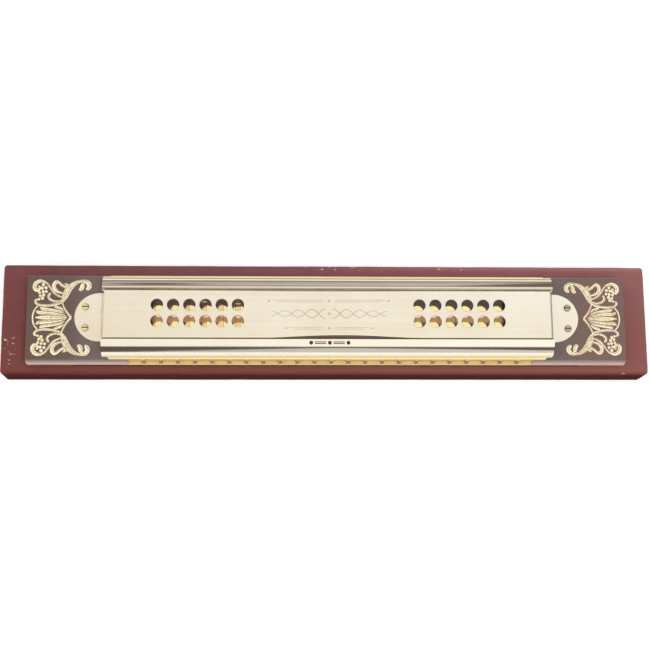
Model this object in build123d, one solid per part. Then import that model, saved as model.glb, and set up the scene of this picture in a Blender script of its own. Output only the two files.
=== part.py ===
"""Tremolo harmonica with twenty-four double holes, lying in a low fitted case.

Frame, in millimetres: the origin is the bottom centre of the case, +X runs along the harmonica from the low notes
to the high ones, -Y is the mouth side and +Z is up. The harmonica's own pieces are drawn about the comb's centre
and then placed in the case. Its lower half mirrors its upper half.
"""

import os

from build123d import *

# Comb
COMB_LENGTH = 235.0
COMB_DEPTH = 34.5
COMB_THICKNESS = 10.0
BULLNOSE = 1.1  # how far the rounded mouth edge stands out
COMB_CHAMFER = 0.3

# Columns of holes: one channel above and one below in each column
COLUMNS = 24
COLUMN_PITCH = 6.65
COLUMN_SHIFT = 1.2  # the row of holes sits a little towards the high end
CHANNEL_WIDTH = 5.4
CHANNEL_HEIGHT = 3.9
CHANNEL_PAST_SLOT = 4.2

# Reed plates
PLATE_LENGTH = 174.6
PLATE_FRONT = -16.15
PLATE_BACK = 17.0
PLATE_THICKNESS = 1.0
PLATE_CHAMFER = 2.2
SLOT_FRONT = -10.5
SLOT_WIDTH = 2.2
LONGEST_SLOT = 19.0
SHORTEST_SLOT = 10.0

# Reeds: each has a fixed pad under its rivet and a free tongue over its slot
REED_WIDTH = 2.0
REED_THICKNESS = 0.25
REED_LIFT = 0.03  # the tongue stands this far off the plate
REED_END_GAP = 0.15
ROOT_GAP = 0.05
PAD_WIDTH = 2.6
PAD_LENGTH = 3.0
PAD_THICKNESS = 0.45
RIVET_SHANK_RADIUS = 0.48
RIVET_HOLE_RADIUS = 0.5
RIVET_HEAD_RADIUS = 0.78
RIVET_HEAD = 0.3

# Plate nails
NAIL_SHANK_RADIUS = 0.38
NAIL_HOLE_RADIUS = 0.4
NAIL_HEAD_RADIUS = 0.9
NAIL_HEAD = 0.25
NAIL_LENGTH = 3.6
NAIL_FRONT_Y = -13.2
NAIL_BACK_Y = 14.4
NAIL_END_X = 84.0
NAIL_BACK_STEP = 33.6

# Covers, pressed from sheet
SHEET = 0.5
COVER_Y = 0.5  # the covers sit a little behind the comb's middle
PLATEAU_TOP = 7.2  # above the comb's face
PLATEAU_HALF_LENGTH = 87.0
PLATEAU_HALF_WIDTH = 9.6
SHOULDER_HALF_LENGTH = 87.7
SHOULDER_RADIUS = 5.8
SHOULDER_WALL = 0.9  # upright part of the shoulder, above the reed plate
SHOULDER_WEB = 0.6
LIP = 0.4
END_WALL_RUN = 1.6
TAB_TIP = 98.9
TAB_HALF_WIDTH = 9.7
SOUND_HOLE_RADIUS = 2.35
SOUND_HOLE_PITCH = 6.25
SOUND_HOLES_IN_ROW = 6
SOUND_GROUP_X = 50.9
SOUND_ROW_HALF_SPACING = 3.23
SOUND_ROW_SHIFT = 0.4

# Cover screws
SCREW_X = 94.7
SCREW_HALF_SPACING = 4.15
SCREW_HEAD_RADIUS = 1.35
SCREW_HEAD = 0.7
SCREW_DOME = 0.35
SCREW_SLOT_WIDTH = 0.4
SCREW_SLOT_DEPTH = 0.35
SCREW_SHANK_RADIUS = 0.8
SCREW_HOLE_RADIUS = 0.85
SCREW_LENGTH = 4.2

# Case
CASE_LENGTH = 257.5
CASE_WIDTH = 44.0
CASE_HEIGHT = 15.0
CASE_BOARD = 2.0
CASE_CORNER = 1.0
WINDOW_HALF_LENGTH = 100.5
WINDOW_FRONT = -16.85
WINDOW_BACK = 17.2
REST_LENGTH = 18.0
REST_WIDTH = 32.0
REST_X = 114.0

# Where the comb's centre lies in the case
HARP_Y = -2.0
HARP_Z = CASE_HEIGHT + COMB_THICKNESS / 2

# Worked out from the sizes above
COMB_FACE = COMB_THICKNESS / 2
COMB_FRONT = -COMB_DEPTH / 2
COMB_BACK = COMB_DEPTH / 2
PLATE_FACE = COMB_FACE + PLATE_THICKNESS
CHANNEL_FLOOR = COMB_FACE - CHANNEL_HEIGHT
COVER_TOP = COMB_FACE + PLATEAU_TOP
ROWS = {"upper": 1, "lower": -1}


def column_x(column):
    return COLUMN_SHIFT + (column - (COLUMNS - 1) / 2) * COLUMN_PITCH


def slot_length(column):
    return LONGEST_SLOT + (SHORTEST_SLOT - LONGEST_SLOT) * column / (COLUMNS - 1)


def slot_back(column):
    return SLOT_FRONT + slot_length(column)


def is_draw(column):
    """Draw reeds are outside the plate, rooted at the mouth side; blow reeds are inside, rooted at the back."""
    return column % 2 == 1


def block(x_range, y_range, z_range):
    """A box from its lowest to its highest coordinate on each axis."""
    size = [high - low for low, high in (x_range, y_range, z_range)]
    centre = [(high + low) / 2 for low, high in (x_range, y_range, z_range)]
    return Pos(*centre) * Box(*size)


def column_block(column, half_width, y_range, z_range):
    x = column_x(column)
    return block((x - half_width, x + half_width), y_range, z_range)


def rod(x, y, radius, z_low, z_high):
    return Pos(x, y, (z_low + z_high) / 2) * Cylinder(radius, z_high - z_low)


def on_row(shape, sign):
    """Mirrors a piece that is drawn for the upper half when it belongs to the lower half."""
    if sign > 0:
        return shape
    return mirror(shape, about=Plane.XY)


def placed(shape):
    return Pos(0, HARP_Y, HARP_Z) * shape


def nail_places():
    back_x = [step * NAIL_BACK_STEP - NAIL_END_X for step in range(6)]
    front_x = [column_x(column) + COLUMN_PITCH / 2 for column in (5, 11, 17)]
    places = [(x, NAIL_BACK_Y) for x in back_x]
    places += [(x, NAIL_FRONT_Y) for x in (-NAIL_END_X, *front_x, NAIL_END_X)]
    return places


def screw_places():
    return [
        (side * SCREW_X, COVER_Y + row * SCREW_HALF_SPACING)
        for side in (-1, 1)
        for row in (-1, 1)
    ]


def rivet_place(column):
    half_pad = ROOT_GAP + PAD_LENGTH / 2
    y = SLOT_FRONT - half_pad if is_draw(column) else slot_back(column) + half_pad
    return column_x(column), y


def comb():
    front_face = COMB_FRONT + BULLNOSE
    outline = [
        ThreePointArc((front_face, -COMB_FACE), (COMB_FRONT, 0), (front_face, COMB_FACE)),
        Line((front_face, COMB_FACE), (COMB_BACK, COMB_FACE)),
        Line((COMB_BACK, COMB_FACE), (COMB_BACK, -COMB_FACE)),
        Line((COMB_BACK, -COMB_FACE), (front_face, -COMB_FACE)),
    ]
    body = extrude(Plane.YZ * make_face(outline), COMB_LENGTH / 2, both=True)
    body = chamfer(body.edges().filter_by(Axis.X).group_by(Axis.Y)[-1], COMB_CHAMFER)
    cuts = []
    for sign in ROWS.values():
        for column in range(COLUMNS):
            y_range = (COMB_FRONT - 1, slot_back(column) + CHANNEL_PAST_SLOT)
            channel = column_block(column, CHANNEL_WIDTH / 2, y_range, (CHANNEL_FLOOR, COMB_FACE + 1))
            cuts.append(on_row(channel, sign))
        for x, y in nail_places():
            cuts.append(on_row(rod(x, y, NAIL_HOLE_RADIUS, COMB_FACE - NAIL_LENGTH, COMB_FACE + 1), sign))
        for x, y in screw_places():
            cuts.append(on_row(rod(x, y, SCREW_HOLE_RADIUS, COMB_FACE - SCREW_LENGTH, COMB_FACE + 1), sign))
    return body - cuts


def reed_plate(sign):
    half = PLATE_LENGTH / 2
    cut = PLATE_CHAMFER
    outline = Polyline(
        (-half, PLATE_FRONT + cut),
        (-half + cut, PLATE_FRONT),
        (half - cut, PLATE_FRONT),
        (half, PLATE_FRONT + cut),
        (half, PLATE_BACK - cut),
        (half - cut, PLATE_BACK),
        (-half + cut, PLATE_BACK),
        (-half, PLATE_BACK - cut),
        close=True,
    )
    plate = extrude(Pos(0, 0, COMB_FACE) * make_face(outline), PLATE_THICKNESS)
    through = (COMB_FACE - 1, PLATE_FACE + 1)
    cuts = []
    for column in range(COLUMNS):
        cuts.append(column_block(column, SLOT_WIDTH / 2, (SLOT_FRONT, slot_back(column)), through))
        cuts.append(rod(*rivet_place(column), RIVET_HOLE_RADIUS, *through))
    for x, y in nail_places():
        cuts.append(rod(x, y, NAIL_HOLE_RADIUS, *through))
    return on_row(plate - cuts, sign)


def reed(column, sign):
    """The free tongue: it starts just past its pad and ends just short of its slot's far end."""
    length = slot_length(column)
    if is_draw(column):
        y_range = (SLOT_FRONT + ROOT_GAP, SLOT_FRONT + length - REED_END_GAP)
        z_range = (PLATE_FACE + REED_LIFT, PLATE_FACE + REED_LIFT + REED_THICKNESS)
    else:
        y_range = (SLOT_FRONT + REED_END_GAP, SLOT_FRONT + length - ROOT_GAP)
        z_range = (COMB_FACE - REED_LIFT - REED_THICKNESS, COMB_FACE - REED_LIFT)
    return on_row(column_block(column, REED_WIDTH / 2, y_range, z_range), sign)


def reed_pad(column, sign):
    x, y = rivet_place(column)
    z_range = (PLATE_FACE, PLATE_FACE + PAD_THICKNESS)
    if not is_draw(column):
        z_range = (COMB_FACE - PAD_THICKNESS, COMB_FACE)
    pad = column_block(column, PAD_WIDTH / 2, (y - PAD_LENGTH / 2, y + PAD_LENGTH / 2), z_range)
    return on_row(pad - rod(x, y, RIVET_HOLE_RADIUS, *z_range), sign)


def rivet(column, sign):
    x, y = rivet_place(column)
    low = COMB_FACE
    high = PLATE_FACE
    if is_draw(column):
        high += PAD_THICKNESS
    else:
        low -= PAD_THICKNESS
    shank = rod(x, y, RIVET_SHANK_RADIUS, low, high)
    top_head = rod(x, y, RIVET_HEAD_RADIUS, high, high + RIVET_HEAD)
    bottom_head = rod(x, y, RIVET_HEAD_RADIUS, low - RIVET_HEAD, low)
    return on_row(shank + top_head + bottom_head, sign)


def nail(x, y, sign):
    shank = rod(x, y, NAIL_SHANK_RADIUS, PLATE_FACE - NAIL_LENGTH, PLATE_FACE)
    head = rod(x, y, NAIL_HEAD_RADIUS, PLATE_FACE, PLATE_FACE + NAIL_HEAD)
    return on_row(shank + head, sign)


def shoulder_section(side):
    """One pressed shoulder across the cover: a lip, a short upright wall, a quarter round and a step down."""
    centre_y = PLATEAU_HALF_WIDTH + SHEET / 5
    foot = PLATE_FACE
    centre_z = foot + SHOULDER_WALL
    inner = SHOULDER_RADIUS - SHEET
    outer_y = centre_y + SHOULDER_RADIUS

    def area(y_low, y_high, z_low, z_high):
        return Pos((y_low + y_high) / 2, (z_low + z_high) / 2) * Rectangle(y_high - y_low, z_high - z_low)

    round_part = Pos(centre_y, centre_z) * (Circle(SHOULDER_RADIUS) - Circle(inner))
    round_part &= area(PLATEAU_HALF_WIDTH, outer_y + 1, centre_z, centre_z + SHOULDER_RADIUS + 1)
    wall = area(outer_y - SHEET, outer_y, foot, centre_z)
    lip = area(outer_y, outer_y + LIP, foot, foot + LIP)
    web_top = centre_z + SHOULDER_RADIUS - SHEET / 5
    web = area(PLATEAU_HALF_WIDTH, PLATEAU_HALF_WIDTH + SHOULDER_WEB, COVER_TOP - SHEET, web_top)
    section = Plane.YZ * (round_part + wall + lip + web)
    if side < 0:
        section = mirror(section, about=Plane.XZ)
    return section


def cover(sign):
    slope = END_WALL_RUN / (PLATEAU_TOP - SHEET)
    wall_shift = SHEET * (1 + slope**2) ** 0.5
    foot_x = PLATEAU_HALF_LENGTH + END_WALL_RUN
    tab_top = COMB_FACE + SHEET
    inner_top_x = PLATEAU_HALF_LENGTH + SHEET * slope - wall_shift
    inner_foot_x = foot_x + SHEET * slope - wall_shift
    side_view = [
        (0, COVER_TOP),
        (PLATEAU_HALF_LENGTH, COVER_TOP),
        (foot_x, tab_top),
        (TAB_TIP, tab_top),
        (TAB_TIP, COMB_FACE),
        (inner_foot_x, COMB_FACE),
        (inner_top_x, COVER_TOP - SHEET),
        (0, COVER_TOP - SHEET),
    ]
    half_strip = extrude(Plane.XZ * make_face(Polyline(*side_view, close=True)), TAB_HALF_WIDTH, both=True)
    strip = half_strip + mirror(half_strip, about=Plane.YZ)
    strip &= extrude(SlotOverall(2 * TAB_TIP, 2 * TAB_HALF_WIDTH), COVER_TOP + 1)
    shoulders = [
        extrude(shoulder_section(side), SHOULDER_HALF_LENGTH, both=True)
        for side in (-1, 1)
    ]
    shell = Pos(0, COVER_Y, 0) * (strip + shoulders)
    cuts = [rod(x, y, SCREW_HOLE_RADIUS, COMB_FACE - 1, tab_top + 1) for x, y in screw_places()]
    for group in (-1, 1):
        for place in range(SOUND_HOLES_IN_ROW):
            x = group * SOUND_GROUP_X + (place - (SOUND_HOLES_IN_ROW - 1) / 2) * SOUND_HOLE_PITCH
            for row in (-1, 1):
                y = COVER_Y + SOUND_ROW_SHIFT + row * SOUND_ROW_HALF_SPACING
                cuts.append(rod(x, y, SOUND_HOLE_RADIUS, COVER_TOP - 1, COVER_TOP + 1))
    return on_row(shell - cuts, sign)


def cover_screw(x, y, sign):
    seat = COMB_FACE + SHEET
    head = rod(x, y, SCREW_HEAD_RADIUS, seat, seat + SCREW_HEAD)
    head = fillet(head.edges().group_by(Axis.Z)[-1], SCREW_DOME)
    slot = block(
        (x - SCREW_HEAD_RADIUS, x + SCREW_HEAD_RADIUS),
        (y - SCREW_SLOT_WIDTH / 2, y + SCREW_SLOT_WIDTH / 2),
        (seat + SCREW_HEAD - SCREW_SLOT_DEPTH, seat + SCREW_HEAD + 1),
    )
    shank = rod(x, y, SCREW_SHANK_RADIUS, seat - SCREW_LENGTH, seat)
    return on_row(head - slot + shank, sign)


def case_box():
    outer = block(
        (-CASE_LENGTH / 2, CASE_LENGTH / 2),
        (-CASE_WIDTH / 2, CASE_WIDTH / 2),
        (0, CASE_HEIGHT - CASE_BOARD),
    )
    outer = fillet(outer.edges().filter_by(Axis.Z), CASE_CORNER)
    inside = block(
        (CASE_BOARD - CASE_LENGTH / 2, CASE_LENGTH / 2 - CASE_BOARD),
        (CASE_BOARD - CASE_WIDTH / 2, CASE_WIDTH / 2 - CASE_BOARD),
        (CASE_BOARD, CASE_HEIGHT),
    )
    return outer - inside


def case_platform():
    """The top board, with a window that takes the lower cover and reed plate."""
    z_range = (CASE_HEIGHT - CASE_BOARD, CASE_HEIGHT)
    board = block(
        (-CASE_LENGTH / 2, CASE_LENGTH / 2),
        (-CASE_WIDTH / 2, CASE_WIDTH / 2),
        z_range,
    )
    board = fillet(board.edges().filter_by(Axis.Z), CASE_CORNER)
    window = block(
        (-WINDOW_HALF_LENGTH, WINDOW_HALF_LENGTH),
        (HARP_Y + WINDOW_FRONT, HARP_Y + WINDOW_BACK),
        (0, CASE_HEIGHT + 1),
    )
    return board - window


def case_rest(side):
    """A block under each end of the platform, below the comb's ends."""
    return block(
        (side * REST_X - REST_LENGTH / 2, side * REST_X + REST_LENGTH / 2),
        (HARP_Y - REST_WIDTH / 2, HARP_Y + REST_WIDTH / 2),
        (CASE_BOARD, CASE_HEIGHT - CASE_BOARD),
    )


def group(name, solids):
    """Several like solids kept in one node."""
    return Compound(label=name, children=[solid for shape in solids for solid in shape.solids()])


def nodes():
    rows = list(ROWS.items())
    both = [(column, sign) for _, sign in rows for column in range(COLUMNS)]
    made = {
        "comb": placed(comb()),
        "cover_screws": placed(
            group("cover_screws", [cover_screw(x, y, sign) for _, sign in rows for x, y in screw_places()])
        ),
        "plate_nails": placed(
            group("plate_nails", [nail(x, y, sign) for _, sign in rows for x, y in nail_places()])
        ),
        "reed_pads": placed(group("reed_pads", [reed_pad(column, sign) for column, sign in both])),
        "reed_rivets": placed(group("reed_rivets", [rivet(column, sign) for column, sign in both])),
        "case_box": case_box(),
        "case_platform": case_platform(),
        "case_rests": group("case_rests", [case_rest(side) for side in (-1, 1)]),
    }
    for row, sign in rows:
        made[f"{row}_reed_plate"] = placed(reed_plate(sign))
        made[f"{row}_cover"] = placed(cover(sign))
        for column in range(COLUMNS):
            made[f"{row}_reed_{column + 1:02d}"] = placed(reed(column, sign))
    return made


def main():
    os.makedirs("parts", exist_ok=True)
    for name, shape in nodes().items():
        export_step(shape, f"parts/{name}.step")


main()
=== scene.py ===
"""Looks for a tremolo harmonica that lies in a low maroon case.

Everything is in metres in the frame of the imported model. Sizes are written in millimetres and multiplied
by MM. The harmonica's own pieces are drawn about the comb's middle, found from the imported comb.
"""

import math

import bmesh
import bpy
from mathutils import Euler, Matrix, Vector, noise

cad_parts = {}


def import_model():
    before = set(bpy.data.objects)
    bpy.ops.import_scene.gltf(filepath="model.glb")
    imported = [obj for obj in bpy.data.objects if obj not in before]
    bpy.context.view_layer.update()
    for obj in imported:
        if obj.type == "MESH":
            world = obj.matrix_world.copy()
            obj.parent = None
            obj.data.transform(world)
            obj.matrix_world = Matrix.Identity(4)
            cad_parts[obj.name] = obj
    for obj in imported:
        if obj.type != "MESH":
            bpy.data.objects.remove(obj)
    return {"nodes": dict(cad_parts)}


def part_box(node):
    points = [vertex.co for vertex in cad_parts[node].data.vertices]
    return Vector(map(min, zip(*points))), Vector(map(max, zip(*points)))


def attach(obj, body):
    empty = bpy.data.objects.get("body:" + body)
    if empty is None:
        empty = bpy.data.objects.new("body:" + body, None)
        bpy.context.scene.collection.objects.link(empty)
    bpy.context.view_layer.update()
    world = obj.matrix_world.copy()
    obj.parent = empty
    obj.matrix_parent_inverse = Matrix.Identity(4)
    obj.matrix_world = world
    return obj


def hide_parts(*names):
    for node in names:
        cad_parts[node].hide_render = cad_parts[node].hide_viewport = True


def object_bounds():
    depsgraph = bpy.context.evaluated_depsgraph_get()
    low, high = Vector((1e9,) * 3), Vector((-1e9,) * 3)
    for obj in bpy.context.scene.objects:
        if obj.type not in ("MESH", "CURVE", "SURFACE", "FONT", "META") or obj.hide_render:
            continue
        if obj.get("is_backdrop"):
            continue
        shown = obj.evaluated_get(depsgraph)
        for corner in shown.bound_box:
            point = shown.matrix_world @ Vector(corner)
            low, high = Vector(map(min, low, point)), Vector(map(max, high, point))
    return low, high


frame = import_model()
CAD_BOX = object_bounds()
noise.seed_set(1)  # without a seed, vector noise and so the case's worn edges differ each run

MM = 0.001
CASE = "case"
HARP = "harmonica"

COMB_LOW, COMB_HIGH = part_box("comb")
HARP_CENTRE = (COMB_LOW + COMB_HIGH) / 2
COMB_HALF = (COMB_HIGH - COMB_LOW) / 2
COVER_LOW, COVER_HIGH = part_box("upper_cover")
COVER_Y = (COVER_LOW.y + COVER_HIGH.y) / 2

# Columns of holes
COLUMN_PITCH = 6.65 * MM
COLUMN_SHIFT = 1.2 * MM
ROW_HALF_LENGTH = 79.2 * MM  # half the stretch that the holes take up
PARTITION_HALF = 0.7 * MM  # half a lacquered square between two columns


# ------------------------------------------------------------ materials


def linear(red, green, blue):
    """A colour given as 0 to 255 display values, as the linear values that shaders use."""

    def channel(value):
        value /= 255
        return value / 12.92 if value <= 0.04045 else ((value + 0.055) / 1.055) ** 2.4

    return (channel(red), channel(green), channel(blue), 1.0)


class Nodes:
    """Short ways to add shader nodes. A value may be a number, a colour or another node's output."""

    def __init__(self, tree, coordinates):
        self.tree = tree
        self.place = self.node("TexCoord").outputs[coordinates]

    def node(self, kind, inputs=None, **settings):
        made = self.tree.nodes.new("ShaderNode" + kind)
        for name, value in settings.items():
            setattr(made, name, value)
        for name, value in (inputs or {}).items():
            self.feed(made.inputs[name], value)
        return made

    def feed(self, socket, value):
        if isinstance(value, bpy.types.NodeSocket):
            self.tree.links.new(value, socket)
        else:
            socket.default_value = value

    def math(self, operation, first, second=0.0):
        return self.node("Math", {0: first, 1: second}, operation=operation).outputs[0]

    def less(self, value, amount):
        return self.math("SUBTRACT", value, amount)

    def split(self):
        return self.node("SeparateXYZ", {0: self.place}).outputs

    def blend(self, factor, first, second):
        made = self.node("Mix", data_type="RGBA")
        for socket, value in ((0, factor), (6, first), (7, second)):
            self.feed(made.inputs[socket], value)
        return made.outputs[2]

    def band(self, value, low, high):
        """0 below low, 1 above high, smooth between. low may be above high, which turns the band round."""
        inputs = {"Value": value, "From Min": low, "From Max": high}
        return self.node("MapRange", inputs, interpolation_type="SMOOTHSTEP").outputs[0]

    def range(self, value, low, high):
        """A 0 to 1 value spread from low to high."""
        return self.node("MapRange", {"Value": value, "To Min": low, "To Max": high}).outputs[0]

    def chain(self, operation, values):
        result = values[0]
        for value in values[1:]:
            result = self.math(operation, result, value)
        return result

    def both(self, *masks):
        return self.chain("MULTIPLY", masks)

    def total(self, *values):
        return self.chain("ADD", values)

    def most(self, *values):
        return self.chain("MAXIMUM", values)

    def size(self, value):
        return self.math("ABSOLUTE", value)

    def off(self, value, centre):
        """How far a value lies from a centre, to either side."""
        return self.size(self.less(value, centre))


class Shader(Nodes):
    """One material on object coordinates, so that its pattern travels with the piece."""

    def __init__(self, name, **values):
        self.material = bpy.data.materials.new(name)
        self.material.use_nodes = True
        super().__init__(self.material.node_tree, "Object")
        self.surface = self.tree.nodes["Principled BSDF"]
        for socket, value in values.items():
            self.surface.inputs[socket.replace("_", " ")].default_value = value

    def stretched(self, scale):
        return self.node("Mapping", {"Vector": self.place, "Scale": scale}).outputs[0]

    def noise(self, scale, detail=3.0, stretch=(1, 1, 1)):
        inputs = {"Vector": self.stretched(stretch), "Scale": scale, "Detail": detail}
        return self.node("TexNoise", inputs).outputs["Fac"]

    def bump(self, height, distance, strength=1.0):
        inputs = {"Height": height, "Distance": distance, "Strength": strength}
        self.feed(self.surface.inputs["Normal"], self.node("Bump", inputs).outputs[0])

    def colour(self, value):
        self.feed(self.surface.inputs["Base Color"], value)

    def roughness(self, value, low, high):
        self.feed(self.surface.inputs["Roughness"], self.range(value, low, high))


def comb_material():
    """Black lacquer outside, paler along the mouth edge where it is partly rubbed and partly a painted
    highlight, and raw golden wood in the channels. The lacquer is painted darker towards the ends as painted
    shade.

    Between the channels the lacquer stays on a square in the middle of each partition's front.
    """
    shader = Shader("comb_lacquer_and_wood", Specular_IOR_Level=0.5, Coat_Weight=0.3, Coat_Roughness=0.2)
    x, y, z = shader.split()
    along = shader.less(x, COLUMN_SHIFT)
    height = shader.off(z, HARP_CENTRE.z)
    in_row = shader.band(shader.size(along), ROW_HALF_LENGTH + 0.2 * MM, ROW_HALF_LENGTH)
    below_face = shader.band(height, COMB_HALF.z - 0.02 * MM, COMB_HALF.z - 0.08 * MM)
    inside_back = shader.band(y, COMB_HIGH.y - 0.2 * MM, COMB_HIGH.y - 0.6 * MM)
    raw = shader.both(in_row, below_face, inside_back)

    column = shader.math("FRACT", shader.math("DIVIDE", along, COLUMN_PITCH))
    off_partition = shader.math("MINIMUM", column, shader.less(1, column))
    half_width = PARTITION_HALF / COLUMN_PITCH
    square = shader.both(
        shader.band(off_partition, half_width + 0.02, half_width),
        shader.band(height, 1.3 * MM, 1.7 * MM),
        shader.band(height, 4.7 * MM, 4.4 * MM),
        shader.band(y, COMB_LOW.y + 1.0 * MM, COMB_LOW.y + 0.8 * MM),
    )

    grain = shader.noise(900, 5, (0.25, 1.0, 1.0))
    fibre = shader.noise(5200, 2, (0.08, 1.0, 1.0))
    wood = shader.blend(grain, linear(224, 188, 114), linear(253, 236, 166))
    wood = shader.blend(shader.range(fibre, 0.0, 0.3), wood, linear(168, 120, 66))
    cloud = shader.noise(160, 3)
    lacquer = shader.blend(cloud, linear(93, 77, 72), linear(111, 94, 87))
    # painted shade: the lacquer is drawn darker towards both ends of the comb, darkest at the low end
    end_shade_amount = shader.range(shader.band(shader.size(x), 92 * MM, 104 * MM), 0.0, 0.8)
    shaded_ends = shader.blend(shader.band(x, -50 * MM, 50 * MM), linear(88, 64, 53), linear(112, 79, 72))
    lacquer = shader.blend(end_shade_amount, lacquer, shaded_ends)
    # partly wear and partly a painted highlight: the rounded front of the mouth edge is drawn paler, as
    # rubbed lacquer and as light caught on it
    rub = shader.both(
        shader.band(height, 5.0 * MM, 0.6 * MM),
        shader.band(y, COMB_LOW.y + 1.9 * MM, COMB_LOW.y + 0.9 * MM),
        shader.range(grain, 0.75, 1.1),
    )
    lacquer = shader.blend(rub, lacquer, linear(210, 174, 152))
    stained = shader.blend(square, wood, linear(134, 86, 60))
    shader.colour(shader.blend(raw, lacquer, stained))
    shader.roughness(raw, 0.4, 0.62)
    shader.bump(shader.math("MULTIPLY", grain, shader.range(raw, 0.25, 1.0)), 0.06 * MM, 0.35)
    return shader.material


def brass(name, light, dark, roughness, streak=(40, 4000, 4000), bow=0.0):
    """Rolled or filed brass, with fine streaks along X and a little clouding.

    bow is how fast the sheet's mirror slope grows to the right of the middle, in radians a metre.
    """
    shader = Shader(name, Metallic=1.0)
    streaks = shader.noise(1.0, 3, streak)
    cloud = shader.noise(120, 3)
    shade = shader.math("MULTIPLY", streaks, shader.range(cloud, 0.5, 1.3))
    shader.colour(shader.blend(shade, dark, light))
    shader.roughness(streaks, roughness - 0.04, roughness + 0.06)
    past_middle = shader.math("MAXIMUM", shader.split()[0], 0.0)
    rise = shader.math("MULTIPLY", shader.math("POWER", past_middle, 2), bow / 2)
    shader.bump(shader.math("ADD", rise, shader.math("MULTIPLY", streaks, 0.0025 * MM)), 1.0)
    return shader.material


def screw_material():
    """Brass screws with painted shade in their slots, a little darker at the right end."""
    shader = Shader("screw_brass", Metallic=0.9)
    wear = shader.noise(900, 3)
    x, _, z = shader.split()
    height = shader.off(z, HARP_CENTRE.z)
    head_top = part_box("cover_screws")[1].z - HARP_CENTRE.z
    bright = shader.blend(wear, linear(208, 176, 116), linear(255, 238, 188))
    dull = shader.blend(wear, linear(158, 134, 102), linear(214, 194, 164))
    brass_colour = shader.blend(shader.band(x, -10 * MM, 10 * MM), bright, dull)
    # painted shade: below the head's top, the slots are drawn dark brown
    slot_shade = shader.band(height, head_top - 0.16 * MM, head_top - 0.24 * MM)
    shader.colour(shader.blend(slot_shade, brass_colour, linear(74, 56, 38)))
    shader.roughness(wear, 0.22, 0.34)
    return shader.material


# How fast the satin plate is painted paler, in shares of its tone range a metre: painted light
SATIN_PALER_TO_BACK = 22
SATIN_PALER_TO_RIGHT = 2


def satin_plate_material():
    """Warm nickel plate, brushed along the harmonica."""
    shader = Shader("satin_nickel", Metallic=1.0)
    fine = shader.noise(1.0, 4, (25, 9000, 9000))
    broad = shader.noise(1.0, 2, (12, 900, 900))
    x, y, _ = shader.split()
    cloud = shader.noise(45, 4)
    # painted light: the last two terms make the tone grow paler towards the back and the right
    tone = shader.total(
        shader.range(broad, -0.4, 0.4),
        shader.range(cloud, -0.1, 1.1),
        shader.math("MULTIPLY", y, SATIN_PALER_TO_BACK),
        shader.math("MULTIPLY", x, SATIN_PALER_TO_RIGHT),
    )
    shader.colour(shader.blend(tone, linear(243, 231, 208), linear(254, 250, 235)))
    shader.roughness(fine, 0.36, 0.46)
    shader.bump(fine, 0.006 * MM, 0.3)
    return shader.material


def polished_plate_material():
    """The same plate, polished on the shoulders, darker at the foot and yellower low on the back, with a
    painted dark reflection along the back.
    """
    shader = Shader("polished_nickel", Metallic=1.0)
    haze = shader.noise(70, 4)
    hairline = shader.noise(1.0, 3, (15, 5000, 5000))
    plate = shader.blend(haze, linear(223, 213, 193), linear(236, 228, 210))
    _, y, z = shader.split()
    above_comb = shader.less(shader.off(z, HARP_CENTRE.z), COMB_HALF.z)
    foot = shader.band(above_comb, 4.4 * MM, 3.6 * MM)
    plate = shader.blend(foot, plate, linear(216, 207, 188))
    on_back = shader.band(y, COVER_Y + 12 * MM, COVER_Y + 13 * MM)
    yellower_low = shader.both(shader.band(above_comb, 5.25 * MM, 5.05 * MM), on_back)
    # painted reflection: a dark brown band along the back shoulder, where the polished sheet would mirror
    # something dark
    dark_reflection_line = shader.both(
        shader.band(above_comb, 5.9 * MM, 5.65 * MM),
        shader.band(above_comb, 4.9 * MM, 5.1 * MM),
        on_back,
    )
    plate = shader.blend(yellower_low, plate, linear(224, 198, 156))
    shader.colour(shader.blend(dark_reflection_line, plate, linear(150, 128, 92)))
    shader.roughness(hairline, 0.06, 0.14)
    shader.bump(haze, 0.03 * MM, 0.2)
    return shader.material


def gold_leaf_material():
    """Pale gold transfer, thin and mottled."""
    shader = Shader("gold_leaf", Metallic=0.3)
    rub = shader.noise(1700, 5)
    cloud = shader.noise(260, 3)
    shade = shader.band(shader.math("ADD", rub, shader.range(cloud, -0.2, 0.2)), 0.24, 0.54)
    shader.colour(shader.blend(shade, linear(218, 170, 110), linear(255, 247, 211)))
    shader.roughness(rub, 0.32, 0.55)
    shader.bump(rub, 0.02 * MM, 0.4)
    return shader.material


def gold_shade_material():
    """The brown shading lines of the transfer."""
    shader = Shader("gold_shading", Metallic=0.2)
    rub = shader.noise(1700, 4)
    shader.colour(shader.blend(rub, linear(96, 66, 42), linear(150, 114, 72)))
    shader.roughness(rub, 0.4, 0.6)
    return shader.material


# painted light: emission colours that make the inside of the covers glow
FAINT_GLOW = (0.075, 0.08, 0.19, 1)
BRASS_GLOW = (0.47, 0.33, 0.42, 1)


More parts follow.
